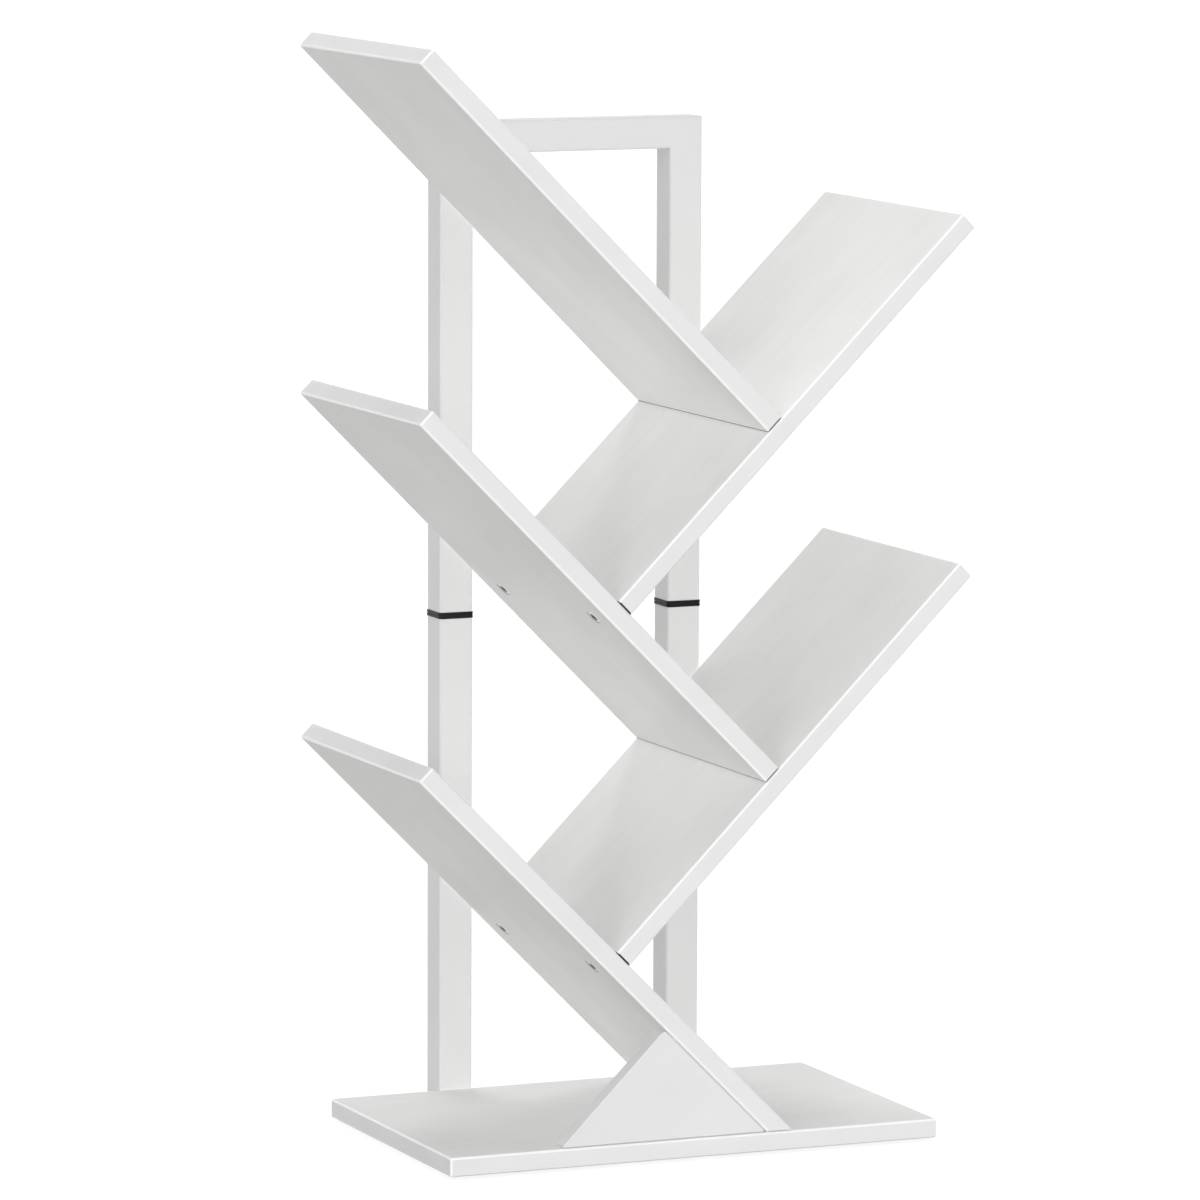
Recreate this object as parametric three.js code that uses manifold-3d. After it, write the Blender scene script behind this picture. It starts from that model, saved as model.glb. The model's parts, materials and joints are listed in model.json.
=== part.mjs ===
// A tree shaped bookshelf. Five leaning boards butt square against one another in a zigzag, stand on a
// flat base board, and are held from behind by a frame of square steel tube.
// Millimetres, +Z up, front towards -Y, the origin on the floor under the middle of the whole shelf.
import * as THREE from 'three';
import { mergeVertices } from 'three/addons/utils/BufferGeometryUtils.js';
import Module from 'manifold-3d';

const wasm = await Module();
wasm.setup();

// Boards
const boardThickness = 16;
const shelfDepth = 270;
const shelfLength = 435;
const shelfPitch = 205; // square distance between the same faces of two boards that lean alike
const firstJointHeight = 173; // floor to the foot of the second shelf
const baseWidth = 438;
const edgeEase = 1.1;

// Wedge plate under the lowest shelf
const wedgeLeg = 131; // along the underside of the lowest shelf
const wedgeApexCut = 5; // from the corner to where its rounding starts
const wedgeTipCut = 3; // from the corner to where its blunt end starts

// Steel frame
const tubeSize = 30;
const tubeWall = 1.2;
const tubeCornerRadius = 2.5;
const frameWidth = 240;
const frameHeight = 843;
const topBarHeight = 27;

// Connectors between the lower and the upper posts
const collarHeight = 5;
const collarProud = 0.7;
const collarGrooveWidth = 0.8;
const collarGrooveDepth = 0.5;
const collarMiddleHeight = 426;
const connectorPlugLength = 36;

// Ribbed plugs of the connectors and of the foot caps
const plugRibHeight = 1.4;
const plugRibThickness = 1.6;
const plugWall = 2.4;
const plugFloor = 3;
const plugCornerRadius = 1.2;
const connectorRibCount = 3;
const capRibCount = 3;

// Foot caps and glides
const capFlangeThickness = 3;
const capPlugLength = 20;
const glideRadius = 10;
const glideThickness = 3;
const glideEase = 0.8;
const glideInset = 24;
const glideNailRadius = 1.2;
const glideNailLength = 10;

// Countersunk wood screws
const woodScrewRadius = 2;
const woodScrewHeadRadius = 6.8;
const woodScrewHeadRim = 0.4;
const woodScrewPoint = 4;
const jointScrewLength = 45;
const jointScrewInset = 38; // from the front and rear edges of the shelves
const footScrewLength = 29;
const footScrewInset = 6; // from the lower edge of the level foot
const wedgeScrewLength = 40;
const headSink = 0.3;
const recessArm = 3.2;
const recessWidth = 1.8;
const recessDepth = 1.6;

// Pan head screws of the frame
const frameScrewRadius = 2.5;
const frameScrewHeadRadius = 4.6;
const frameScrewHeadHeight = 2.4;
const frameScrewHeadRim = 0.8;
const frameScrewBite = 20; // how far the screw reaches into a board
const frameScrewPoint = 5;

// Wooden dowels between the wedge plate and the lowest shelf
const dowelRadius = 4;
const dowelLength = 24;
const dowelInShelf = 10;
const dowelEase = 0.8;

// Fit
const seatGap = 0.3;
const holeClearance = 0.3;
const overrun = 2;

// Shares along the wedge plate, from its left tip or from its apex
const wedgeScrewShares = [0.34, 0.7];
const dowelShares = [0.3, 0.66];

// Facets
const roundSides = 12;
const cornerSteps = 3;
const plugCornerSteps = 1;
const domeSteps = 3;
const weldShare = 1e-4; // of a board's thickness, under which two corners are one

const lean = Math.SQRT1_2; // sine and cosine of the 45 degrees that every shelf leans
const halfBoard = boardThickness / 2;

// Levels and depths worked out from the sizes above
const baseBottom = glideThickness;
const baseTop = baseBottom + boardThickness;
const totalDepth = shelfDepth + seatGap + tubeSize + seatGap + frameScrewHeadHeight;
const frontY = -totalDepth / 2;
const postFrontY = frontY + shelfDepth + seatGap;
const postMiddleY = postFrontY + tubeSize / 2;
const postRearY = postFrontY + tubeSize;
const postX = frameWidth / 2 - tubeSize / 2;
const lowerPostBottom = capFlangeThickness + seatGap;
const lowerPostTop = collarMiddleHeight - collarHeight / 2 - seatGap;
const upperPostBottom = collarMiddleHeight + collarHeight / 2 + seatGap;
const tubeBore = tubeSize - 2 * tubeWall;

const white = new THREE.MeshStandardMaterial({ color: '#eeeeec', roughness: 0.55, metalness: 0 });
const powderCoat = new THREE.MeshStandardMaterial({ color: '#e8e8e8', roughness: 0.45, metalness: 0 });
const blackPlastic = new THREE.MeshStandardMaterial({ color: '#161617', roughness: 0.5, metalness: 0 });
const whitePlastic = new THREE.MeshStandardMaterial({ color: '#d9d9d6', roughness: 0.6, metalness: 0 });
const zinc = new THREE.MeshStandardMaterial({ color: '#b9bcc0', roughness: 0.35, metalness: 1 });
const beech = new THREE.MeshStandardMaterial({ color: '#c9a878', roughness: 0.75, metalness: 0 });

// Turns a closed geometry into a solid that can be cut and joined
function solidOf(geometry) {
  const bare = geometry.index ? geometry.toNonIndexed() : geometry.clone();
  bare.deleteAttribute('normal');
  bare.deleteAttribute('uv');
  const merged = mergeVertices(bare, weldShare * boardThickness);
  const triangles = [];
  for (let i = 0; i < merged.index.count; i += 3) {
    const [a, b, c] = [0, 1, 2].map((step) => merged.index.getX(i + step));
    if (a !== b && b !== c && c !== a) {
      triangles.push(a, b, c);
    }
  }
  const mesh = new wasm.Mesh({
    numProp: 3,
    vertProperties: new Float32Array(merged.attributes.position.array),
    triVerts: new Uint32Array(triangles),
  });
  return new wasm.Manifold(mesh);
}

function geometryOf(solid) {
  const mesh = solid.getMesh();
  const geometry = new THREE.BufferGeometry();
  geometry.setAttribute('position', new THREE.BufferAttribute(new Float32Array(mesh.vertProperties), 3));
  geometry.setIndex(new THREE.BufferAttribute(new Uint32Array(mesh.triVerts), 1));
  geometry.computeVertexNormals();
  return geometry;
}

function cutAway(body, cutters) {
  return geometryOf(cutters.reduce((solid, cutter) => solid.subtract(solidOf(cutter)), solidOf(body)));
}

function joined(bodies) {
  return geometryOf(bodies.slice(1).reduce((solid, body) => solid.add(solidOf(body)), solidOf(bodies[0])));
}

function place(parent, name, geometry, material, x, y, z) {
  const mesh = new THREE.Mesh(geometry, material);
  mesh.name = name;
  mesh.position.set(x, y, z);
  parent.add(mesh);
  return mesh;
}

// A round hole cutter, standing on its start and pointing along an axis, which may be a slanted one
function drill(radius, start, direction, length) {
  const cutter = new THREE.CylinderGeometry(radius, radius, length, roundSides);
  cutter.translate(0, length / 2, 0);
  const turn = new THREE.Quaternion().setFromUnitVectors(new THREE.Vector3(0, 1, 0), direction);
  return cutter.applyQuaternion(turn).translate(start.x, start.y, start.z);
}

// The cone that a countersunk head sits in, widest at its start
function countersink(start, direction) {
  const mouth = woodScrewHeadRadius + holeClearance;
  const throat = woodScrewRadius + holeClearance;
  const depth = headSink + woodScrewHeadRim + mouth - throat;
  const cone = new THREE.LatheGeometry(
    [
      new THREE.Vector2(0, -overrun),
      new THREE.Vector2(mouth, -overrun),
      new THREE.Vector2(mouth, headSink + woodScrewHeadRim),
      new THREE.Vector2(throat, depth),
      new THREE.Vector2(0, depth),
    ],
    roundSides,
  );
  const turn = new THREE.Quaternion().setFromUnitVectors(new THREE.Vector3(0, 1, 0), direction);
  return cone.applyQuaternion(turn).translate(start.x, start.y, start.z);
}

// Extrudes an outline drawn in X and Z from the front (y = 0) to the rear, with its edges eased
function slab(outline, depth) {
  const geometry = new THREE.ExtrudeGeometry(outline, {
    depth: depth - 2 * edgeEase,
    steps: 1,
    curveSegments: cornerSteps,
    bevelEnabled: true,
    bevelThickness: edgeEase,
    bevelSize: edgeEase,
    bevelOffset: -edgeEase,
    bevelSegments: 1,
  });
  return geometry.rotateX(Math.PI / 2).translate(0, depth - edgeEase, 0);
}

// A square with rounded corners, centred on its own middle
function roundedSquare(size, radius) {
  const reach = size / 2 - radius;
  const outline = new THREE.Shape();
  outline.absarc(reach, reach, radius, 0, Math.PI / 2);
  outline.absarc(-reach, reach, radius, Math.PI / 2, Math.PI);
  outline.absarc(-reach, -reach, radius, Math.PI, Math.PI * 1.5);
  outline.absarc(reach, -reach, radius, Math.PI * 1.5, Math.PI * 2);
  return outline;
}

// A straight bar of that outline, standing on z
function squareBar(size, radius, z, length, steps = cornerSteps) {
  const options = { depth: length, bevelEnabled: false, curveSegments: steps };
  return new THREE.ExtrudeGeometry(roundedSquare(size, radius), options).translate(0, 0, z);
}

// Joint k is where shelf k + 1 stands on the upper face of shelf k
const jointSwing = ((shelfPitch - boardThickness) * lean) / 2;
const jointRise = shelfPitch * lean;
const shelfCount = 5;

function jointPlace(k) {
  const side = k % 2 === 1 ? -1 : 1;
  return { x: side * jointSwing, z: firstJointHeight + (k - 1) * jointRise };
}

const leftTipX = jointPlace(2).x - (seatGap + shelfLength) * lean;

// Where a shelf stands, and the runs along it: x and z of its foot, and the distance from there to its
// foot end, its tip, the joint above and the post behind. rise is 1 to the right and -1 to the left.
function shelfPlan(k) {
  const rise = k % 2 === 0 ? 1 : -1;
  if (k === 1) {
    const joint = jointPlace(1);
    const middleX = joint.x - halfBoard * lean;
    const middleZ = joint.z - halfBoard * lean;
    const z = baseTop + seatGap;
    const x = middleX + middleZ - z;
    return {
      k, rise, x, z,
      footRun: 0,
      tipRun: (x - leftTipX) / lean,
      jointRun: (middleZ - z) / lean,
      postRun: (x + postX) / lean,
    };
  }
  const { x, z } = jointPlace(k - 1);
  return {
    k, rise, x, z,
    footRun: seatGap,
    tipRun: seatGap + shelfLength,
    jointRun: shelfPitch - halfBoard,
    postRun: (postX - rise * x) / lean,
  };
}

const shelves = Array.from({ length: shelfCount }, (_, i) => shelfPlan(i + 1));
const jointScrewDepths = [jointScrewInset, shelfDepth - jointScrewInset];
const screwEnds = ['front', 'rear'];

// The outline of a shelf in its own frame, x along its run and z across its thickness
function shelfOutline(plan) {
  const level = plan.k === 1 ? halfBoard : 0; // the lowest shelf's foot is cut level
  const points = [
    [plan.footRun - level, halfBoard],
    [plan.tipRun - edgeEase, halfBoard],
    [plan.tipRun, halfBoard - edgeEase],
    [plan.tipRun, edgeEase - halfBoard],
    [plan.tipRun - edgeEase, -halfBoard],
    [plan.footRun + level, -halfBoard],
  ];
  return new THREE.Shape(points.map(([run, across]) => new THREE.Vector2(plan.rise * run, across)));
}

const along = (rise) => new THREE.Vector3(rise, 0, 0);
const upward = new THREE.Vector3(0, 0, 1);
const forward = new THREE.Vector3(0, -1, 0);

function jointHoles(plan) {
  return jointScrewDepths.flatMap((y) => {
    const start = new THREE.Vector3(plan.rise * plan.jointRun, y, -halfBoard);
    const below = start.clone().addScaledVector(upward, -overrun);
    const length = boardThickness + 2 * overrun;
    return [
      drill(woodScrewRadius + holeClearance, below, upward, length),
      countersink(start, upward),
    ];
  });
}

function footPilots(plan) {
  const reach = jointScrewLength + headSink - boardThickness + holeClearance;
  return jointScrewDepths.map((y) => {
    const start = new THREE.Vector3(-plan.rise * overrun, y, 0);
    return drill(woodScrewRadius + holeClearance, start, along(plan.rise), overrun + reach);
  });
}

function rearPilot(x, z) {
  const start = new THREE.Vector3(x, shelfDepth + overrun, z);
  return drill(frameScrewRadius + holeClearance, start, forward, overrun + frameScrewBite + holeClearance);
}

// Places in the lowest shelf's own frame are turned back from the room's X and Z by its lean
function inLowestShelf(x, z) {
  const [dx, dz] = [x - shelves[0].x, z - shelves[0].z];
  return { x: (dx - dz) * lean, z: (dx + dz) * lean };
}

const footScrewX = shelves[0].x - boardThickness * lean + footScrewInset;

function levelFootPilots() {
  const direction = new THREE.Vector3(-lean, 0, lean);
  const start = inLowestShelf(footScrewX, baseTop - overrun);
  const length = footScrewLength + headSink - boardThickness + overrun + holeClearance;
  return jointScrewDepths.map((y) =>
    drill(woodScrewRadius + holeClearance, new THREE.Vector3(start.x, y, start.z), direction, length),
  );
}

// The wedge plate's apex lies a gap under the lowest shelf; its sides run down at 45 degrees
const wedgeFloor = baseTop + seatGap;
const wedgeReach = wedgeLeg * lean;
const undersideX = shelves[0].x - boardThickness * lean - seatGap / lean;
const wedgeRight = undersideX + shelves[0].z - wedgeFloor;
const wedgeApex = { x: wedgeRight - wedgeReach, z: wedgeFloor + wedgeReach };
const wedgeLeft = wedgeApex.x - wedgeReach;
const wedgeMiddleDepth = boardThickness / 2;

const dowelPlaces = dowelShares.map((share) => ({
  x: wedgeApex.x + share * wedgeReach,
  z: wedgeApex.z - share * wedgeReach,
}));

function dowelHole(centre, direction, depth) {
  const start = centre.clone().addScaledVector(direction, -overrun);
  return drill(dowelRadius + holeClearance, start, direction, overrun + depth);
}

function shelfDowelHoles() {
  return dowelPlaces.map((dowel) => {
    const at = inLowestShelf(dowel.x, dowel.z);
    return dowelHole(new THREE.Vector3(at.x, wedgeMiddleDepth, at.z), upward, dowelInShelf + 2 * seatGap);
  });
}

function shelfGeometry(plan) {
  const holes = [rearPilot(plan.rise * plan.postRun, 0)];
  if (plan.k < shelfCount) {
    holes.push(...jointHoles(plan));
  }
  if (plan.k === 1) {
    holes.push(...levelFootPilots(), ...shelfDowelHoles());
  } else {
    holes.push(...footPilots(plan));
  }
  return cutAway(slab(shelfOutline(plan), shelfDepth), holes);
}

// A slotted cross for the drive of a screw head, sunk from y = 0
function crossRecess(headTop) {
  const arms = [0, 1, 2, 3].flatMap((quarter) => {
    const turn = (quarter * Math.PI) / 2;
    const corners = [
      [recessWidth / 2, recessWidth / 2],
      [recessArm, recessWidth / 2],
      [recessArm, -recessWidth / 2],
    ];
    return corners.map(([x, y]) => new THREE.Vector2(x, y).rotateAround(new THREE.Vector2(), -turn));
  });
  const outline = new THREE.Shape(arms);
  const options = { depth: recessDepth + overrun, bevelEnabled: false };
  return new THREE.ExtrudeGeometry(outline, options).rotateX(-Math.PI / 2).translate(0, headTop - overrun, 0);
}

// A countersunk screw, its head's top at y = 0 and its point towards +Y
function woodScrewGeometry(length) {
  const coneEnd = woodScrewHeadRim + woodScrewHeadRadius - woodScrewRadius;
  const profile = [
    [0, 0],
    [woodScrewHeadRadius, 0],
    [woodScrewHeadRadius, woodScrewHeadRim],
    [woodScrewRadius, coneEnd],
    [woodScrewRadius, length - woodScrewPoint],
    [0, length],
  ].map(([radius, y]) => new THREE.Vector2(radius, y));
  return cutAway(new THREE.LatheGeometry(profile, roundSides), [crossRecess(0)]);
}

// A pan head screw, the underside of its head at y = 0
function frameScrewGeometry() {
  const length = seatGap + tubeSize + seatGap + frameScrewBite;
  const domeHeight = frameScrewHeadHeight - frameScrewHeadRim;
  const dome = Array.from({ length: domeSteps + 1 }, (_, i) => {
    const angle = (i / domeSteps) * (Math.PI / 2);
    const radius = frameScrewHeadRadius * Math.sin(angle);
    return new THREE.Vector2(radius, -frameScrewHeadRim - domeHeight * Math.cos(angle));
  });
  const profile = [
    ...dome,
    new THREE.Vector2(frameScrewHeadRadius, 0),
    new THREE.Vector2(frameScrewRadius, 0),
    new THREE.Vector2(frameScrewRadius, length - frameScrewPoint),
    new THREE.Vector2(0, length),
  ];
  return cutAway(new THREE.LatheGeometry(profile, roundSides), [crossRecess(-frameScrewHeadHeight)]);
}

const jointScrew = woodScrewGeometry(jointScrewLength);
const footScrew = woodScrewGeometry(footScrewLength);
const wedgeScrew = woodScrewGeometry(wedgeScrewLength);
const frameScrew = frameScrewGeometry();

// Each shelf and the screws in its foot share a group that leans with the board
function addShelf(parent, plan) {
  const group = new THREE.Group();
  group.position.set(plan.x, frontY, plan.z);
  group.rotation.y = (-plan.rise * Math.PI) / 4;
  const side = plan.rise > 0 ? 'right' : 'left';
  place(group, `shelf_${plan.k}_${side}`, shelfGeometry(plan), white, 0, 0, 0);
  if (plan.k > 1) {
    screwEnds.forEach((end, i) => {
      const x = -plan.rise * (boardThickness - headSink);
      const name = `joint_${plan.k - 1}_screw_${end}`;
      const screw = place(group, name, jointScrew, zinc, x, jointScrewDepths[i], 0);
      screw.rotation.z = (-plan.rise * Math.PI) / 2;
    });
  }
  parent.add(group);
}

function wedgeScrewPlaces() {
  return wedgeScrewShares.map((share) => wedgeLeft + share * 2 * wedgeReach);
}

// Screws that stand upright in the base board, given by their x and depth
function baseScrewPlaces() {
  return [
    ...jointScrewDepths.map((y) => ({ x: footScrewX, y })),
    ...wedgeScrewPlaces().map((x) => ({ x, y: wedgeMiddleDepth })),
  ];
}

const glidePlaces = [
  [-1, glideInset],
  [1, glideInset],
  [-1, shelfDepth - glideInset],
  [1, shelfDepth - glideInset],
].map(([side, y]) => ({ x: side * (baseWidth / 2 - glideInset), y }));

function baseGeometry() {
  const [w, h] = [baseWidth / 2, halfBoard];
  const corners = [
    [w - edgeEase, h],
    [w, h - edgeEase],
    [w, edgeEase - h],
    [w - edgeEase, -h],
  ];
  const mirrored = corners.map(([x, z]) => [-x, z]).reverse();
  const outline = new THREE.Shape([...corners, ...mirrored].map(([x, z]) => new THREE.Vector2(x, z)));
  const through = boardThickness + 2 * overrun;
  const screwHoles = baseScrewPlaces().flatMap(({ x, y }) => {
    const start = new THREE.Vector3(x, y, -halfBoard);
    const below = new THREE.Vector3(x, y, -halfBoard - overrun);
    return [drill(woodScrewRadius + holeClearance, below, upward, through), countersink(start, upward)];
  });
  const nailHoles = glidePlaces.map(({ x, y }) => {
    const below = new THREE.Vector3(x, y, -halfBoard - overrun);
    return drill(glideNailRadius + holeClearance, below, upward, overrun + glideNailLength + seatGap);
  });
  const rearPilots = [-postX, postX].map((x) => rearPilot(x, 0));
  return cutAway(slab(outline, shelfDepth), [...screwHoles, ...nailHoles, ...rearPilots]);
}

// A triangle standing on its long side, its apex rounded and its tips cut blunt
function wedgeGeometry() {
  const corners = [
    { x: wedgeLeft, z: wedgeFloor, cut: wedgeTipCut, round: false },
    { x: wedgeRight, z: wedgeFloor, cut: wedgeTipCut, round: false },
    { x: wedgeApex.x, z: wedgeApex.z, cut: wedgeApexCut, round: true },
  ];
  const outline = new THREE.Shape();
  corners.forEach((corner, i) => {
    const here = new THREE.Vector2(corner.x, corner.z);
    const [before, after] = [corners[(i + 2) % 3], corners[(i + 1) % 3]].map((other) =>
      new THREE.Vector2(other.x, other.z).sub(here).setLength(corner.cut).add(here),
    );
    if (i === 0) {
      outline.moveTo(before.x, before.y);
    } else {
      outline.lineTo(before.x, before.y);
    }
    if (corner.round) {
      outline.quadraticCurveTo(here.x, here.y, after.x, after.y);
    } else {
      outline.lineTo(after.x, after.y);
    }
  });
  const screwPilots = wedgeScrewPlaces().map((x) => {
    const start = new THREE.Vector3(x, wedgeMiddleDepth, wedgeFloor - overrun);
    const length = wedgeScrewLength + headSink - boardThickness + overrun + holeClearance;
    return drill(woodScrewRadius + holeClearance, start, upward, length);
  });
  const intoWedge = new THREE.Vector3(-lean, 0, -lean);
  const dowelHoles = dowelPlaces.map(({ x, z }) => {
    const centre = new THREE.Vector3(x, wedgeMiddleDepth, z);
    return dowelHole(centre, intoWedge, dowelLength - dowelInShelf + seatGap);
  });
  return cutAway(slab(outline, boardThickness), [...screwPilots, ...dowelHoles]);
}

function dowelGeometry() {
  const profile = [
    [0, 0],
    [dowelRadius - dowelEase, 0],
    [dowelRadius, dowelEase],
    [dowelRadius, dowelLength - dowelEase],
    [dowelRadius - dowelEase, dowelLength],
    [0, dowelLength],
  ].map(([radius, y]) => new THREE.Vector2(radius, y));
  return geometryOf(solidOf(new THREE.LatheGeometry(profile, roundSides)));
}

function glideGeometry() {
  const profile = [
    [0, 0],
    [glideRadius - glideEase, 0],
    [glideRadius, glideEase],
    [glideRadius, glideThickness - seatGap],
    [glideNailRadius, glideThickness - seatGap],
    [glideNailRadius, glideThickness + glideNailLength - glideNailRadius],
    [0, glideThickness + glideNailLength],
  ].map(([radius, y]) => new THREE.Vector2(radius, y));
  return geometryOf(solidOf(new THREE.LatheGeometry(profile, roundSides).rotateX(Math.PI / 2)));
}

// One ring of a tube's section: how far each point lies from the outer side, and how far back
function tubeRing(radius, inset) {
  const across = tubeSize - 2 * inset;
  const corners = [
    [1, 1, 0],
    [-1, 1, 1],
    [-1, -1, 2],
    [1, -1, 3],
  ];
  return corners.flatMap(([sideX, sideY, quarter]) =>
    Array.from({ length: cornerSteps + 1 }, (_, i) => {
      const angle = (quarter + i / cornerSteps) * (Math.PI / 2);
      const half = across / 2 - radius;
      return {
        fromOuter: tubeSize / 2 - sideX * half - radius * Math.cos(angle),
        y: sideY * half + radius * Math.sin(angle),
      };
    }),
  );
}

// The upside-down U as one swept body. The section turns at a mitre in each top corner, where the top
// bar is lower than the posts are wide, so a point on the inner side keeps its distance from that side.
function archSolid(radius, inset, bottom) {
  const ring = tubeRing(radius, inset);
  const drop = ({ fromOuter }) =>
    fromOuter < tubeSize / 2 ? fromOuter : topBarHeight - (tubeSize - fromOuter);
  const left = ({ fromOuter }) => -frameWidth / 2 + fromOuter;
  const stations = [
    (p) => [left(p), p.y, bottom],
    (p) => [left(p), p.y, frameHeight - drop(p)],
    (p) => [-left(p), p.y, frameHeight - drop(p)],
    (p) => [-left(p), p.y, bottom],
  ];
  const positions = stations.flatMap((station) => ring.flatMap(station));
  const triangles = [];
  const count = ring.length;
  for (let s = 0; s < stations.length - 1; s += 1) {
    for (let i = 0; i < count; i += 1) {
      const next = (i + 1) % count;
      const [a, b] = [s * count + i, s * count + next];
      triangles.push(a, a + count, b, b, a + count, b + count);
    }
  }
  const last = (stations.length - 1) * count;
  for (let i = 1; i < count - 1; i += 1) {
    triangles.push(0, i, i + 1, last, last + i + 1, last + i);
  }
  const geometry = new THREE.BufferGeometry();
  geometry.setAttribute('position', new THREE.Float32BufferAttribute(positions, 3));
  geometry.setIndex(triangles);
  return geometry;
}

// Holes straight through both walls of a post for one frame screw
function postHole(x, z) {
  const start = new THREE.Vector3(x, tubeSize / 2 + overrun, z);
  return drill(frameScrewRadius + holeClearance, start, forward, tubeSize + 2 * overrun);
}

function shelfCrossing(plan) {
  return { side: plan.rise, z: plan.z + plan.postRun * lean };
}

const shelfCrossings = shelves.map(shelfCrossing);
const baseCrossings = [-1, 1].map((side) => ({ side, z: baseBottom + halfBoard }));
const crossings = [...baseCrossings, ...shelfCrossings];

function upperFrameGeometry() {
  const bore = archSolid(tubeCornerRadius - tubeWall, tubeWall, upperPostBottom - overrun);
  const holes = crossings
    .filter(({ z }) => z > collarMiddleHeight)
    .map(({ side, z }) => postHole(side * postX, z));
  return cutAway(archSolid(tubeCornerRadius, 0, upperPostBottom), [bore, ...holes]);
}

function lowerPostGeometry(side) {
  const length = lowerPostTop - lowerPostBottom;
  const boreRadius = tubeCornerRadius - tubeWall;
  const bore = squareBar(tubeBore, boreRadius, lowerPostBottom - overrun, length + 2 * overrun);
  const holes = crossings
    .filter((crossing) => crossing.side === side && crossing.z < collarMiddleHeight)
    .map(({ z }) => postHole(0, z));
  const tube = squareBar(tubeSize, tubeCornerRadius, lowerPostBottom, length);
  return cutAway(tube, [bore, ...holes]);
}

// A hollow ribbed plug that fits the tube's bore, standing on z and open at its far end
function plugSolids(z, length, ribCount) {
  const ribSize = tubeBore - 2 * holeClearance;
  const coreSize = ribSize - 2 * plugRibHeight;
  const core = squareBar(coreSize, plugCornerRadius, z - seatGap, length + seatGap, plugCornerSteps);
  const ribs = Array.from({ length: ribCount }, (_, i) => {
    const ribZ = z + ((i + 0.5) * length) / ribCount;
    return squareBar(ribSize, plugCornerRadius, ribZ, plugRibThickness, plugCornerSteps);
  });
  return [core, ...ribs];
}

function plugPocket(z, length) {
  const coreSize = tubeBore - 2 * holeClearance - 2 * plugRibHeight;
  const pocketSize = coreSize - 2 * plugWall;
  return squareBar(pocketSize, plugCornerRadius / 2, z + plugFloor, length + overrun, plugCornerSteps);
}

// A collar with a groove round its middle, and a plug above and below it
function connectorGeometry() {
  const collarSize = tubeSize + 2 * collarProud;
  const collarRadius = tubeCornerRadius + collarProud;
  const lipHeight = (collarHeight - collarGrooveWidth) / 2;
  const lips = [-collarHeight / 2, collarGrooveWidth / 2].map((z) =>
    squareBar(collarSize, collarRadius, z, lipHeight),
  );
  const neckSize = collarSize - 2 * collarGrooveDepth;
  const neck = squareBar(neckSize, collarRadius - collarGrooveDepth, -collarHeight / 2, collarHeight);
  const plug = joined(plugSolids(collarHeight / 2, connectorPlugLength, connectorRibCount));
  const upper = cutAway(plug, [plugPocket(collarHeight / 2, connectorPlugLength)]);
  const lower = upper.clone().rotateX(Math.PI);
  return joined([neck, ...lips, upper, lower]);
}

function footCapGeometry() {
  const flange = squareBar(tubeSize, tubeCornerRadius, 0, capFlangeThickness);
  const body = joined([flange, ...plugSolids(capFlangeThickness, capPlugLength, capRibCount)]);
  const screwHole = postHole(0, baseCrossings[0].z); // the base board's screw passes through the plug
  return cutAway(body, [plugPocket(capFlangeThickness, capPlugLength), screwHole]);
}

function addBase(parent) {
  place(parent, 'base_board', baseGeometry(), white, 0, frontY, baseBottom + halfBoard);
  place(parent, 'wedge_plate', wedgeGeometry(), white, 0, frontY, 0);
  const screwZ = baseBottom + headSink;
  const footNames = screwEnds.map((end) => `shelf_1_screw_${end}`);
  const names = [...footNames, 'wedge_screw_left', 'wedge_screw_right'];
  baseScrewPlaces().forEach(({ x, y }, i) => {
    const geometry = i < footNames.length ? footScrew : wedgeScrew;
    place(parent, names[i], geometry, zinc, x, frontY + y, screwZ).rotation.x = Math.PI / 2;
  });
  ['upper', 'lower'].forEach((end, i) => {
    const { x, z } = dowelPlaces[i];
    const back = (dowelLength - dowelInShelf) * lean;
    const y = frontY + wedgeMiddleDepth;
    const dowel = place(parent, `wedge_dowel_${end}`, dowelGeometry(), beech, x - back, y, z - back);
    dowel.rotation.set(Math.PI / 2, 0, -Math.PI / 4, 'YXZ');
  });
  const glide = glideGeometry();
  glidePlaces.forEach(({ x, y }, i) => {
    place(parent, `base_glide_${i + 1}`, glide, whitePlastic, x, frontY + y, 0);
  });
}

function addFrame(parent) {
  place(parent, 'upper_frame', upperFrameGeometry(), powderCoat, 0, postMiddleY, 0);
  const connector = connectorGeometry();
  const cap = footCapGeometry();
  [-1, 1].forEach((side) => {
    const name = side < 0 ? 'left' : 'right';
    const x = side * postX;
    place(parent, `lower_post_${name}`, lowerPostGeometry(side), powderCoat, x, postMiddleY, 0);
    place(parent, `post_connector_${name}`, connector, blackPlastic, x, postMiddleY, collarMiddleHeight);
    place(parent, `post_foot_cap_${name}`, cap, blackPlastic, x, postMiddleY, 0);
  });
  const names = ['base_left', 'base_right', ...shelves.map(({ k }) => `shelf_${k}`)];
  crossings.forEach(({ side, z }, i) => {
    const name = `frame_screw_${names[i]}`;
    const screw = place(parent, name, frameScrew, zinc, side * postX, postRearY + seatGap, z);
    screw.rotation.x = Math.PI;
  });
}

const bookshelf = new THREE.Group();
bookshelf.name = 'tree_bookshelf';
shelves.forEach((plan) => addShelf(bookshelf, plan));
addBase(bookshelf);
addFrame(bookshelf);

export default bookshelf;
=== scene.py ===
"""Looks of a tree shaped bookshelf: white laminated boards on a white steel frame.

Lengths are metres in the part's own frame: +X right, +Y back, +Z up, the floor at z = 0.
"""

import json
import math

import bmesh
import bpy
from mathutils import Matrix, Vector

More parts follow.
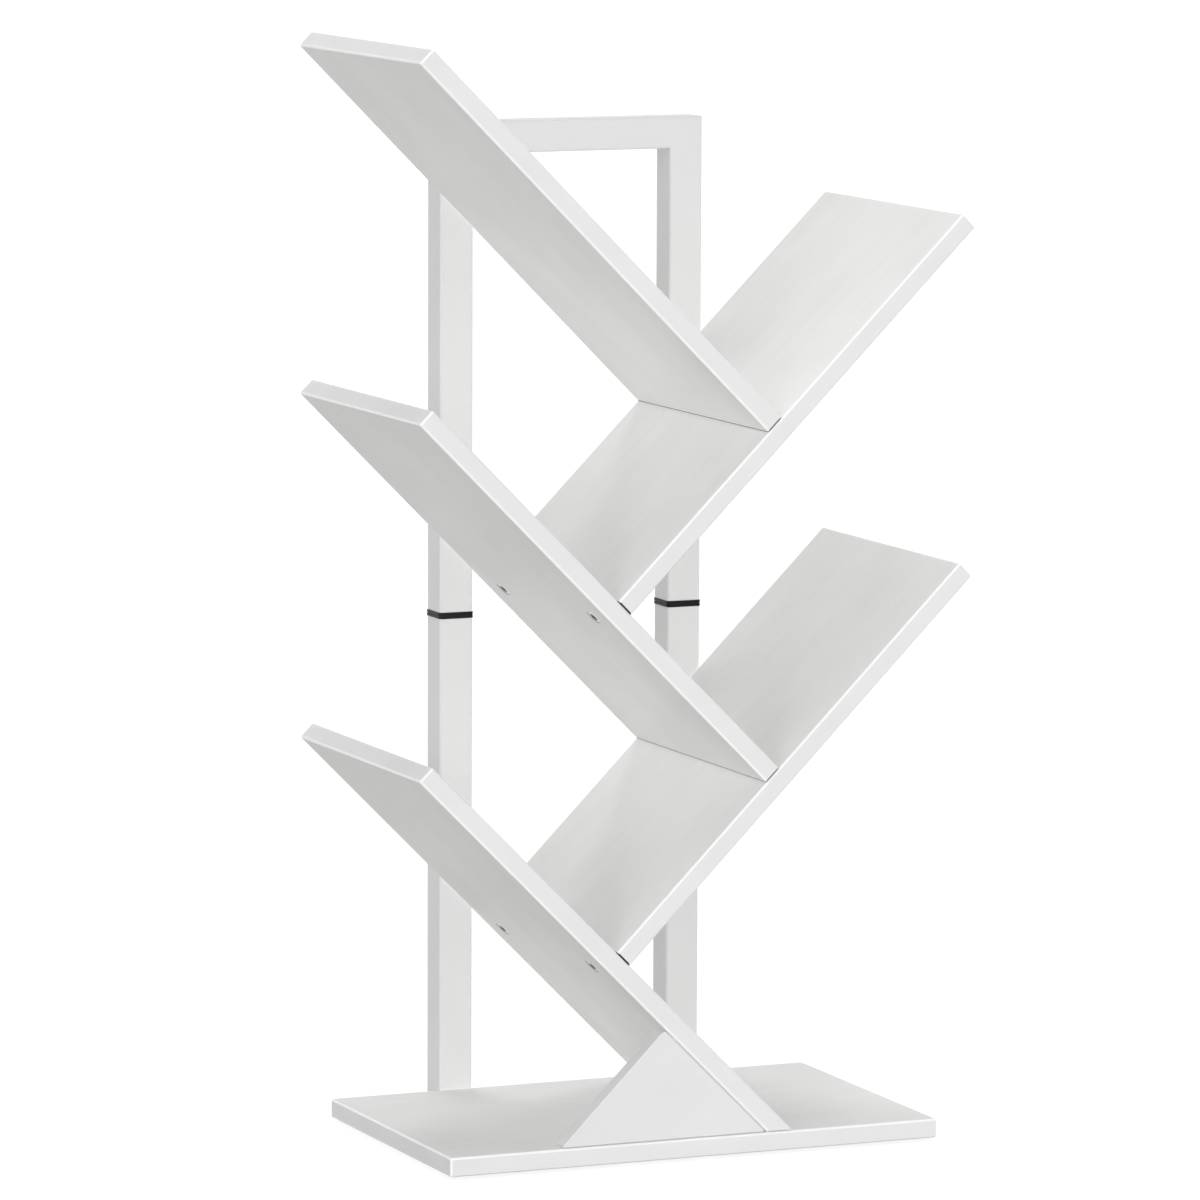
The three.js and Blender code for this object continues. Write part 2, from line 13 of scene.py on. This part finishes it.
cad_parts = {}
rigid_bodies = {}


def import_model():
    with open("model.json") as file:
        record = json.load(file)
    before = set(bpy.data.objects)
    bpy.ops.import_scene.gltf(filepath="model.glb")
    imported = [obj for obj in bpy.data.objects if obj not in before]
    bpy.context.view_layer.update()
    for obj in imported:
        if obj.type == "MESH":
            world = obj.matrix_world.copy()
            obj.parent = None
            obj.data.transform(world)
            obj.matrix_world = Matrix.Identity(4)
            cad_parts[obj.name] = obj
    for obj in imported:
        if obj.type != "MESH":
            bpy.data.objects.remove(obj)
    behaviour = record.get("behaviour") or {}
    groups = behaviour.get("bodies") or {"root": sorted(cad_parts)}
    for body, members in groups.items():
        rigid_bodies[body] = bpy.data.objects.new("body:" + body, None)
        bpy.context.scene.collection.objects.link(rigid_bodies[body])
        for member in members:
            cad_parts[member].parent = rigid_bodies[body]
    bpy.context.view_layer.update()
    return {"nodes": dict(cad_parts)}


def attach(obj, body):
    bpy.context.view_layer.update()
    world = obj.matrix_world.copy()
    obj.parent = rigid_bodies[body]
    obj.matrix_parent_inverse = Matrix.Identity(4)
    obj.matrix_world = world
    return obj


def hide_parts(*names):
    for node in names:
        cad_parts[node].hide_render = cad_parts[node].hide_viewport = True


MM = 0.001

# Camera, solved from the straight edges of the object in the picture
CAMERA_PLACE = Vector((-2.49726, -5.78308, 1.27045))
CAMERA_YAW = math.radians(23.155)  # to the right of +Y
CAMERA_PITCH = math.radians(7.435)  # below the horizon
CAMERA_ROLL = math.radians(0.213)
CAMERA_NEAR = 0.1
CAMERA_FAR = 200
SENSOR_WIDTH = 36.0  # this and the focal length are millimetres on the camera itself
FOCAL_LENGTH = 228.0

# Light: each lamp's azimuth (0 in front, -90 at the left) and height in degrees,
# its strength, its spread in degrees, and whether it casts shadows and shines in glosses
WORLD_STRENGTH = 0.42
LAMPS = {
    "front_fill": (0, 0, 0.964, 10, False, False),
    "left_fill": (-45, 0, 0.556, 10, False, False),
    "right_fill": (70, 10, 0.820, 10, False, False),
    "back_fill": (180, 20, 1.10, 10, False, False),
    "left_softbox": (-70, 10, 0.565, 45, True, True),
    "left_key": (-60, 20, 0.236, 20, True, True),
    "back_softbox": (180, 60, 0.500, 20, True, True),
    "top_softbox": (90, 80, 0.415, 20, True, True),
}

# Floor: its colour in the light it throws, and how it is seen, a faint colour on a glow
FLOOR_REACH = 60
FLOOR_COLOR = (0.4, 0.4, 0.4)
FLOOR_SEEN_GLOW = 0.82
FLOOR_SEEN_COLOR = (0.3, 0.3, 0.3)

# Skins: how near vertices weld, and how far faces may turn to be one flat or one curve
WELD_DISTANCE = 0.002 * MM
FLAT_ANGLE = math.radians(0.5)
SHARP_ANGLE = math.radians(40)

# Boards: how far in from its edges a board's lip, level foot and joint end reach; lip strips beside
# a side that faces the light carry a painted highlight, the foot and the joint end painted shade
LIP_REACH = 1.8 * MM
FOOT_REACH = 1.3 * MM
JOINT_REACH = 0.6 * MM

# Screws: the cross recess, and the disc of painted shade round it, cut by straight sides
RECESS_DEPTH = 1.6 * MM
RECESS_SLACK = RECESS_DEPTH / 4
RECESS_RADIUS = 3.6 * MM
DRIVE_RADIUS = 4.0 * MM
DRIVE_SIDES = 12

# How much of a face's normal lies along an axis that it faces
FACING_SHARE = 0.99

# Colours, as linear light
LAMINATE_LIGHT = (0.826, 0.826, 0.813)
LAMINATE_DARK = (0.762, 0.762, 0.750)
WEDGE_LIGHT = (0.802, 0.802, 0.812)
WEDGE_DARK = (0.777, 0.777, 0.787)
BAND_LIGHT = (0.818, 0.818, 0.828)
BAND_DARK = (0.788, 0.788, 0.798)
# Painted shade: the boards' end faces darker than their band
END_SHADE_LIGHT = (0.748, 0.748, 0.752)
END_SHADE_DARK = (0.722, 0.722, 0.726)
# Painted shade on the wedge's sides, under the lowest shelf
WEDGE_SIDE_SHADE_LIGHT = (0.715, 0.715, 0.720)
WEDGE_SIDE_SHADE_DARK = (0.670, 0.670, 0.675)
# Painted shade in the creases where boards meet, on the lowest shelf's foot and the wedge
SEAM_SHADE_LIGHT = (0.600, 0.600, 0.600)
SEAM_SHADE_DARK = (0.540, 0.540, 0.540)
# Painted highlight on the band corners that face the light
CORNER_HIGHLIGHT_LIGHT = (0.99, 0.99, 0.99)
CORNER_HIGHLIGHT_DARK = (0.95, 0.95, 0.95)
# Painted shade in the gaps where shelves butt
JOINT_SHADE_LIGHT = (0.035, 0.033, 0.032)
JOINT_SHADE_DARK = (0.010, 0.010, 0.010)
# Chipboard's own brown, darkened with painted shade for the bores
CORE_SHADE_LIGHT = (0.13, 0.10, 0.07)
CORE_SHADE_DARK = (0.05, 0.04, 0.03)
POWDER_LIGHT = (0.684, 0.684, 0.684)
POWDER_DARK = (0.670, 0.670, 0.670)
COLLAR_LIGHT = (0.016, 0.016, 0.017)
COLLAR_DARK = (0.008, 0.008, 0.009)
GLIDE_LIGHT = (0.74, 0.74, 0.72)
GLIDE_DARK = (0.62, 0.62, 0.60)
ZINC_LIGHT = (0.80, 0.81, 0.83)
ZINC_DARK = (0.62, 0.63, 0.65)
# Painted shade round the screws' cross recesses
DRIVE_SHADE_LIGHT = (0.030, 0.030, 0.031)
DRIVE_SHADE_DARK = (0.015, 0.015, 0.016)
RECESS_LIGHT = (0.018, 0.018, 0.019)
RECESS_DARK = (0.008, 0.008, 0.008)
BEECH_LIGHT = (0.66, 0.47, 0.29)
BEECH_DARK = (0.48, 0.32, 0.18)

# Sizes of the marks in the finishes: along the grain and across it
CLOUD_SIZE = (75 * MM, 50 * MM)
STREAK_SIZE = (70 * MM, 5 * MM)
FINE_SIZE = (26 * MM, 1.1 * MM)
PEEL_SIZE = (1.6 * MM, 1.6 * MM)
MOULD_SIZE = (0.5 * MM, 0.5 * MM)
CHIP_SIZE = (2.2 * MM, 1.4 * MM)
BRUSH_SIZE = (0.8 * MM, 0.3 * MM)

# How high the marks stand
GRAIN_HEIGHT = 0.12 * MM
BEECH_GRAIN_HEIGHT = 0.05 * MM
PAINT_PEEL_HEIGHT = 0.01 * MM
POWDER_PEEL_HEIGHT = 0.008 * MM
MOULD_HEIGHT = 0.02 * MM
CHIP_HEIGHT = 0.3 * MM

# How rough each finish is, or its smoothest and roughest marks
LAMINATE_ROUGHNESS = (0.44, 0.56)
WEDGE_ROUGHNESS = (0.40, 0.50)
BAND_ROUGHNESS = (0.34, 0.46)
POWDER_ROUGHNESS = (0.28, 0.32)
ZINC_ROUGHNESS = (0.22, 0.40)
CORNER_ROUGHNESS = 0.25
CORE_ROUGHNESS = 0.9
JOINT_ROUGHNESS = 0.8
COLLAR_ROUGHNESS = 0.4
GLIDE_ROUGHNESS = 0.5
DRIVE_ROUGHNESS = 0.5
RECESS_ROUGHNESS = 0.7
BEECH_ROUGHNESS = 0.7

# How strongly the plastics shine
COLLAR_SHINE = 0.16
GLIDE_SHINE = 0.5

# The part of a noise's range that its marks fill: for the roughness, and each way
# from the middle for the colour
NOISE_LOW = 0.3
NOISE_HIGH = 0.7
COLOR_SPREAD = 0.18

# The laminate's grain: the fine marks' share of it, and the clouds' share of its colour
FINE_SHARE = 0.4
CLOUD_SHARE = 0.5

RIGHT = Vector((1, 0, 0))
BACK = Vector((0, 1, 0))
UP = Vector((0, 0, 1))

# Each shelf's upward run, which is its grain, the axis across its two faces,
# and a factor of painted light and shade on its laminate, darkest on the lowest shelf and lightest
# on the top one
SHELVES = {
    "shelf_1_left": (UP - RIGHT, UP + RIGHT, 0.945),
    "shelf_2_right": (UP + RIGHT, UP - RIGHT, 1.0),
    "shelf_3_left": (UP - RIGHT, UP + RIGHT, 0.98),
    "shelf_4_right": (UP + RIGHT, UP - RIGHT, 0.99),
    "shelf_5_left": (UP - RIGHT, UP + RIGHT, 1.045),
}

# Corners that face this way, left and a little up, get a painted highlight, as the light falls from
# there
LIT_RISE_SHARE = 0.3
LIT_SIDE = UP * LIT_RISE_SHARE - RIGHT

# The material slots of a board and of a screw, in order
FACE, BAND, SEAM_SHADE, HIGHLIT_CORNER, SHADED_END, CORE, JOINT_SHADE = range(7)
PLATED, DRIVE_SHADE, SUNK = range(3)


def start_clean():
    """Empties the scene of what a new file holds."""
    for obj in list(bpy.data.objects):
        bpy.data.objects.remove(obj)


def show(name, data):
    """Puts a mesh, lamp or camera into the scene."""
    obj = bpy.data.objects.new(name, data)
    bpy.context.scene.collection.objects.link(obj)
    return obj


def make_camera():
    data = bpy.data.cameras.new("camera")
    data.sensor_width = SENSOR_WIDTH
    data.lens = FOCAL_LENGTH
    data.clip_start = CAMERA_NEAR
    data.clip_end = CAMERA_FAR
    camera = show("camera", data)
    turn = Matrix.Rotation(-CAMERA_YAW, 4, "Z")
    tilt = Matrix.Rotation(math.pi / 2 - CAMERA_PITCH, 4, "X")
    roll = Matrix.Rotation(CAMERA_ROLL, 4, "Z")
    camera.matrix_world = Matrix.Translation(CAMERA_PLACE) @ turn @ tilt @ roll
    bpy.context.scene.camera = camera


class Finish:
    """A material on one Principled shader, whose colour and bump come from stretched noise."""

    def __init__(self, name, roughness=0.5, metallic=0.0, grain_angle=0.0):
        self.material = bpy.data.materials.new(name)
        self.material.use_nodes = True
        self.nodes = self.material.node_tree.nodes
        self.links = self.material.node_tree.links
        self.nodes.clear()
        self.grain_angle = grain_angle
        self.place = self.nodes.new("ShaderNodeTexCoord").outputs["Object"]
        output = self.nodes.new("ShaderNodeOutputMaterial")
        self.shader = self.nodes.new("ShaderNodeBsdfPrincipled")
        self.shader.inputs["Roughness"].default_value = roughness
        self.shader.inputs["Metallic"].default_value = metallic
        self.links.new(self.shader.outputs["BSDF"], output.inputs["Surface"])

    def noise(self, size, detail=2.0):
        """Noise with marks of a size along the grain and across it."""
        along, across = size
        mapping = self.nodes.new("ShaderNodeMapping")
        mapping.vector_type = "TEXTURE"
        mapping.inputs["Rotation"].default_value = (0, -self.grain_angle, 0)
        mapping.inputs["Scale"].default_value = (along, across, across)
        noise = self.nodes.new("ShaderNodeTexNoise")
        noise.inputs["Scale"].default_value = 1.0
        noise.inputs["Detail"].default_value = detail
        self.links.new(self.place, mapping.inputs["Vector"])
        self.links.new(mapping.outputs["Vector"], noise.inputs["Vector"])
        return noise.outputs["Fac"]

    def blend(self, first, second, share):
        """Two patterns in one, with the second one's share."""
        mix = self.nodes.new("ShaderNodeMix")
        mix.inputs["Factor"].default_value = share
        self.links.new(first, mix.inputs["A"])
        self.links.new(second, mix.inputs["B"])
        return mix.outputs["Result"]

    def color(self, pattern, dark, light):
        """Colours the surface from dark to light, about the middle of the pattern."""
        ramp = self.nodes.new("ShaderNodeValToRGB")
        ramp.color_ramp.elements[0].position = 0.5 - COLOR_SPREAD
        ramp.color_ramp.elements[0].color = (*dark, 1)
        ramp.color_ramp.elements[1].position = 0.5 + COLOR_SPREAD
        ramp.color_ramp.elements[1].color = (*light, 1)
        self.links.new(pattern, ramp.inputs["Fac"])
        self.links.new(ramp.outputs["Color"], self.shader.inputs["Base Color"])

    def roughen(self, pattern, ends):
        """Varies the roughness between two ends, the pattern's low and high marks."""
        smooth, rough = ends
        scale = self.nodes.new("ShaderNodeMapRange")
        scale.inputs["From Min"].default_value = NOISE_LOW
        scale.inputs["From Max"].default_value = NOISE_HIGH
        scale.inputs["To Min"].default_value = smooth
        scale.inputs["To Max"].default_value = rough
        self.links.new(pattern, scale.inputs["Value"])
        self.links.new(scale.outputs["Result"], self.shader.inputs["Roughness"])

    def bump(self, pattern, height):
        """Raises the pattern's marks by up to a height."""
        bump = self.nodes.new("ShaderNodeBump")
        bump.inputs["Strength"].default_value = 1.0
        bump.inputs["Distance"].default_value = height
        self.links.new(pattern, bump.inputs["Height"])
        self.links.new(bump.outputs["Normal"], self.shader.inputs["Normal"])


def laminate(name, grain_angle, shade=1.0):
    """White melamine with a faint pressed wood grain."""
    finish = Finish(name, grain_angle=grain_angle)
    cloud = finish.noise(CLOUD_SIZE, 4)
    streak = finish.noise(STREAK_SIZE, 3)
    fine = finish.noise(FINE_SIZE, 3)
    grain = finish.blend(streak, fine, FINE_SHARE)
    # The shelf's factor paints light and shade into its laminate's colours
    dark = [shade * level for level in LAMINATE_DARK]
    light = [shade * level for level in LAMINATE_LIGHT]
    finish.color(finish.blend(grain, cloud, CLOUD_SHARE), dark, light)
    finish.roughen(fine, LAMINATE_ROUGHNESS)
    finish.bump(grain, GRAIN_HEIGHT)
    return finish.material


def peeled(name, dark, light, roughness, height):
    """A smooth, faintly clouded skin with a fine orange peel."""
    finish = Finish(name)
    finish.color(finish.noise(CLOUD_SIZE), dark, light)
    peel = finish.noise(PEEL_SIZE)
    finish.roughen(peel, roughness)
    finish.bump(peel, height)
    return finish.material


def wedge_paint():
    """The wedge's lacquered faces."""
    return peeled("wedge_face", WEDGE_DARK, WEDGE_LIGHT, WEDGE_ROUGHNESS, PAINT_PEEL_HEIGHT)


def edge_band(name, dark, light):
    """Plastic strip glued round a board; its darker kinds carry painted shade."""
    return peeled(name, dark, light, BAND_ROUGHNESS, PAINT_PEEL_HEIGHT)


def powder_coat():
    """White powder coat on the steel tubes."""
    return peeled("powder_coat", POWDER_DARK, POWDER_LIGHT, POWDER_ROUGHNESS, POWDER_PEEL_HEIGHT)


def band_corner_highlight():
    """The corner of an edge band, painted near white as a highlight."""
    finish = Finish("band_corner_highlight", CORNER_ROUGHNESS)
    finish.color(finish.noise(STREAK_SIZE), CORNER_HIGHLIGHT_DARK, CORNER_HIGHLIGHT_LIGHT)
    return finish.material


def shaded_board_core():
    """Pressed wood chips, seen only inside the bores, darkened with painted shade for the dark of
    the holes.
    """
    finish = Finish("shaded_board_core", CORE_ROUGHNESS)
    chips = finish.noise(CHIP_SIZE, 4)
    finish.color(chips, CORE_SHADE_DARK, CORE_SHADE_LIGHT)
    finish.bump(chips, CHIP_HEIGHT)
    return finish.material


def joint_gap_shade():
    """Painted shade for the unlit gap where one board butts on another."""
    finish = Finish("joint_gap_shade", JOINT_ROUGHNESS)
    finish.color(finish.noise(CHIP_SIZE), JOINT_SHADE_DARK, JOINT_SHADE_LIGHT)
    return finish.material


def moulded(name, dark, light, roughness, shine):
    """Moulded plastic with a fine spark texture."""
    finish = Finish(name, roughness)
    finish.shader.inputs["Specular IOR Level"].default_value = shine
    grain = finish.noise(MOULD_SIZE, 3)
    finish.color(grain, dark, light)
    finish.bump(grain, MOULD_HEIGHT)
    return finish.material


def zinc_plate():
    """Bright zinc plating, a little cloudy."""
    finish = Finish("zinc_plate", metallic=1.0)
    brush = finish.noise(BRUSH_SIZE, 3)
    finish.color(brush, ZINC_DARK, ZINC_LIGHT)
    finish.roughen(brush, ZINC_ROUGHNESS)
    return finish.material


def drive_shade():
    """Painted shade on the middle of a screw's head, round its cross recess."""
    finish = Finish("drive_shade", DRIVE_ROUGHNESS)
    finish.color(finish.noise(BRUSH_SIZE), DRIVE_SHADE_DARK, DRIVE_SHADE_LIGHT)
    return finish.material


def recess_shade():
    """The dull, shaded inside of a screw's cross recess."""
    finish = Finish("recess_shade", RECESS_ROUGHNESS)
    finish.color(finish.noise(BRUSH_SIZE), RECESS_DARK, RECESS_LIGHT)
    return finish.material


def beech():
    """Bare beech dowels."""
    finish = Finish("beech", BEECH_ROUGHNESS)
    grain = finish.noise(FINE_SIZE, 3)
    finish.color(grain, BEECH_DARK, BEECH_LIGHT)
    finish.bump(grain, BEECH_GRAIN_HEIGHT)
    return finish.material


def welded(node):
    """A copy of a solid's mesh, welded and with its flat faces whole again."""
    form = bmesh.new()
    form.from_mesh(frame["nodes"][node].data)
    bmesh.ops.remove_doubles(form, verts=form.verts, dist=WELD_DISTANCE)
    bmesh.ops.dissolve_limit(form, angle_limit=FLAT_ANGLE, verts=form.verts, edges=form.edges)
    return form


def skin(node, form, materials):
    """Shows a form in place of a solid, smooth except at its sharp edges."""
    for edge in form.edges:
        edge.smooth = len(edge.link_faces) == 2 and edge.calc_face_angle() < SHARP_ANGLE
    for face in form.faces:
        face.smooth = True
    mesh = bpy.data.meshes.new(node + "_skin")
    form.to_mesh(mesh)
    form.free()
    for material in materials:
        mesh.materials.append(material)
    piece = show(node + "_skin", mesh)
    evened = piece.modifiers.new("even_normals", "WEIGHTED_NORMAL")
    evened.keep_sharp = True
    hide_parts(node)
    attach(piece, "root")


def cut_through(form, place, normal):
    """Cuts every face along a plane, so that each side can have its own material."""
    whole = [*form.verts, *form.edges, *form.faces]
    bmesh.ops.bisect_plane(form, geom=whole, plane_co=normal * place, plane_no=normal)


def class_board_faces(form, ends, across):
    """Gives each face of a board its material: face, band, end with painted shade, corner with a
    painted highlight, or core.
    """
    sides = [*ends, across, -across, BACK, -BACK]
    reaches = [max(vert.co.dot(side) for vert in form.verts) for side in sides]
    for side, reach in zip(sides, reaches):
        cut_through(form, reach - LIP_REACH, side)
    for face in form.faces:
        middle = face.calc_center_median()
        near = [side for side, reach in zip(sides, reaches) if reach - middle.dot(side) < LIP_REACH]
        facing = [side for side in near if face.normal.dot(side) > FACING_SHARE]
        beside = [side for side in near if side not in facing]
        in_bore = not near or (not facing and len(near) == 1)
        if across in facing or -across in facing:
            face.material_index = FACE
        elif in_bore:
            face.material_index = CORE
        # Corners beside a side that faces the light get a painted highlight
        elif any(side.dot(LIT_SIDE) > 0 for side in beside):
            face.material_index = HIGHLIT_CORNER
        # End faces get the band darkened with painted shade
        elif facing and facing[0] in ends:
            face.material_index = SHADED_END
        else:
            face.material_index = BAND


def class_butt_end(form, run):
    """Paints shade on the last of a shelf's foot, which sits in the joint with the board below."""
    end = min(vert.co.dot(run) for vert in form.verts) + JOINT_REACH
    cut_through(form, end, run)
    for face in form.faces:
        if face.calc_center_median().dot(run) < end:
            face.material_index = JOINT_SHADE


def class_level_foot(form):
    """The lowest shelf's foot is cut level; its lowest faces, at the base that it stands on, get
    painted shade for the crease there.
    """
    foot = min(vert.co.z for vert in form.verts) + FOOT_REACH
    for face in form.faces:
        if face.calc_center_median().z < foot:
            face.material_index = SEAM_SHADE


def class_wedge_faces(form):
    """The wedge's corners that face the light have the paint of its faces, the others painted shade
    for the creases with the boards; its sides get their own painted shade.
    """
    for face in form.faces:
        share = abs(face.normal.dot(BACK))
        if share > FACING_SHARE:
            face.material_index = FACE
        elif share < 1 - FACING_SHARE:
            face.material_index = BAND
        else:
            face.material_index = FACE if face.normal.dot(LIT_SIDE) > 0 else SEAM_SHADE


def make_boards():
    """Skins the shelves, the base and the wedge."""
    band = edge_band("edge_band", BAND_DARK, BAND_LIGHT)
    # Painted shade for the creases where boards meet
    seam_shade = edge_band("seam_shade", SEAM_SHADE_DARK, SEAM_SHADE_LIGHT)
    end = edge_band("end_band_shade", END_SHADE_DARK, END_SHADE_LIGHT)
    trims = [band, seam_shade, band_corner_highlight(), end, shaded_board_core(), joint_gap_shade()]
    for node, (run, across, shade) in SHELVES.items():
        form = welded(node)
        class_board_faces(form, [run.normalized()], across.normalized())
        if node == "shelf_1_left":
            class_level_foot(form)
        else:
            class_butt_end(form, run.normalized())
        face = laminate(f"{node}_laminate", math.atan2(run.z, run.x), shade)
        skin(node, form, [face, *trims])
    form = welded("base_board")
    class_board_faces(form, [RIGHT, -RIGHT], UP)
    skin("base_board", form, [laminate("base_laminate", 0), *trims])
    form = welded("wedge_plate")
    class_wedge_faces(form)
    # The wedge's sides get the band darkened with painted shade
    side = edge_band("wedge_side_shade", WEDGE_SIDE_SHADE_DARK, WEDGE_SIDE_SHADE_LIGHT)
    skin("wedge_plate", form, [wedge_paint(), side, seam_shade])


def screw_lie(form):
    """A point on a screw's axis, the way it points, and where along that its head begins."""
    middle = sum((vert.co for vert in form.verts), Vector()) / len(form.verts)
    tip = max((vert.co for vert in form.verts), key=lambda place: (place - middle).length)
    inward = (tip - middle).normalized()
    return middle, inward, min(vert.co.dot(inward) for vert in form.verts)


def class_screw_faces(form):
    """Gives a screw its plated outside and the dark inside of its cross recess."""
    middle, inward, head_top = screw_lie(form)
    for face in form.faces:
        place = face.calc_center_median()
        depth = place.dot(inward) - head_top
        tilt = abs(face.normal.dot(inward))
        wall = tilt < 1 - FACING_SHARE and depth < RECESS_DEPTH
        floor = tilt > FACING_SHARE and abs(depth - RECESS_DEPTH) < RECESS_SLACK
        from_axis = (place - middle).cross(inward).length
        sunk = from_axis < RECESS_RADIUS and (wall or floor)
        face.material_index = SUNK if sunk else PLATED


def paint_drive_shade(form):
    """Paints shade on a wide flat head inside a ring of straight sides round its cross recess."""
    middle, inward, head_top = screw_lie(form)
    first = inward.orthogonal().normalized()
    for step in range(DRIVE_SIDES):
        side = Matrix.Rotation(step * math.tau / DRIVE_SIDES, 3, inward) @ first
        cut_through(form, middle.dot(side) + DRIVE_RADIUS, side)
    for face in form.faces:
        place = face.calc_center_median()
        on_top = place.dot(inward) - head_top < RECESS_SLACK
        if on_top and (place - middle).cross(inward).length < DRIVE_RADIUS:
            face.material_index = DRIVE_SHADE


def make_screws():
    """Skins the screws. Only the wood screws have flat heads, with painted shade round the drive.
    """
    finishes = [zinc_plate(), drive_shade(), recess_shade()]
    for node in sorted(frame["nodes"]):
        if "screw" in node:
            form = welded(node)
            class_screw_faces(form)
            if "frame" not in node:
                paint_drive_shade(form)
            skin(node, form, finishes)


def even_shading(solid):
    """Shades a solid's round parts smooth and its flats flat, by modifiers alone."""
    weld = solid.modifiers.new("weld", "WELD")
    weld.merge_threshold = WELD_DISTANCE
    split = solid.modifiers.new("split", "EDGE_SPLIT")
    split.split_angle = SHARP_ANGLE
    split.use_edge_sharp = False
    solid.modifiers.new("even_normals", "WEIGHTED_NORMAL")


def finish_solids():
    """The solids that stay get their materials by slot."""
    black = moulded("black_plastic", COLLAR_DARK, COLLAR_LIGHT, COLLAR_ROUGHNESS, COLLAR_SHINE)
    white = moulded("white_plastic", GLIDE_DARK, GLIDE_LIGHT, GLIDE_ROUGHNESS, GLIDE_SHINE)
    finishes = {"frame": powder_coat(), "connector": black, "glide": white, "dowel": beech()}
    for solid in frame["nodes"].values():
        slot = solid.material_slots[0].material.name
        if slot in finishes:
            solid.material_slots[0].link = "OBJECT"
            solid.material_slots[0].material = finishes[slot]
            even_shading(solid)


def seen_ray(nodes, links):
    """1 for what the camera sees, by itself, in a gloss or through glass."""
    path = nodes.new("ShaderNodeLightPath")
    first = nodes.new("ShaderNodeMath")
    first.operation = "MAXIMUM"
    links.new(path.outputs["Is Camera Ray"], first.inputs[0])
    links.new(path.outputs["Is Glossy Ray"], first.inputs[1])
    second = nodes.new("ShaderNodeMath")
    second.operation = "MAXIMUM"
    links.new(first.outputs[0], second.inputs[0])
    links.new(path.outputs["Is Transmission Ray"], second.inputs[1])
    return second.outputs[0]


def make_world():
    """White where it is seen, and an even soft light on the object."""
    world = bpy.data.worlds.new("world")
    bpy.context.scene.world = world
    world.use_nodes = True
    nodes, links = world.node_tree.nodes, world.node_tree.links
    nodes.clear()
    output = nodes.new("ShaderNodeOutputWorld")
    seen = nodes.new("ShaderNodeBackground")
    seen.inputs["Color"].default_value = (1, 1, 1, 1)
    lit = nodes.new("ShaderNodeBackground")
    lit.inputs["Color"].default_value = (1, 1, 1, 1)
    lit.inputs["Strength"].default_value = WORLD_STRENGTH
    mix = nodes.new("ShaderNodeMixShader")
    links.new(seen_ray(nodes, links), mix.inputs[0])
    links.new(lit.outputs[0], mix.inputs[1])
    links.new(seen.outputs[0], mix.inputs[2])
    links.new(mix.outputs[0], output.inputs["Surface"])


def make_lamps():
    """Suns all round the object, each pointing at it from its azimuth and height."""
    for name, (azimuth, height, strength, spread, shadows, glossy) in LAMPS.items():
        data = bpy.data.lights.new(name, "SUN")
        data.energy = strength
        data.angle = math.radians(spread)
        data.use_shadow = shadows
        lamp = show(name, data)
        lamp.visible_glossy = glossy
        turn = Matrix.Rotation(math.radians(azimuth), 4, "Z")
        tilt = Matrix.Rotation(math.radians(90 - height), 4, "X")
        lamp.matrix_world = turn @ tilt


def make_floor():
    """A pale floor, almost white where it is seen, that keeps the object's shadow."""
    mesh = bpy.data.meshes.new("floor")
    reach = FLOOR_REACH
    corners = [(-reach, -reach, 0), (reach, -reach, 0), (reach, reach, 0), (-reach, reach, 0)]
    mesh.from_pydata(corners, [], [(0, 1, 2, 3)])
    floor = show("floor", mesh)
    material = bpy.data.materials.new("floor")
    material.use_nodes = True
    nodes, links = material.node_tree.nodes, material.node_tree.links
    nodes.clear()
    output = nodes.new("ShaderNodeOutputMaterial")
    matt = nodes.new("ShaderNodeBsdfDiffuse")
    matt.inputs["Color"].default_value = (*FLOOR_COLOR, 1)
    faint = nodes.new("ShaderNodeBsdfDiffuse")
    faint.inputs["Color"].default_value = (*FLOOR_SEEN_COLOR, 1)
    glow = nodes.new("ShaderNodeEmission")
    glow.inputs["Strength"].default_value = FLOOR_SEEN_GLOW
    both = nodes.new("ShaderNodeAddShader")
    links.new(faint.outputs[0], both.inputs[0])
    links.new(glow.outputs[0], both.inputs[1])
    mix = nodes.new("ShaderNodeMixShader")
    links.new(seen_ray(nodes, links), mix.inputs[0])
    links.new(matt.outputs[0], mix.inputs[1])
    links.new(both.outputs[0], mix.inputs[2])
    links.new(mix.outputs[0], output.inputs["Surface"])
    mesh.materials.append(material)


start_clean()
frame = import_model()
make_camera()
make_world()
make_lamps()
make_floor()
make_boards()
make_screws()
finish_solids()
bpy.context.scene.view_settings.view_transform = "Standard"
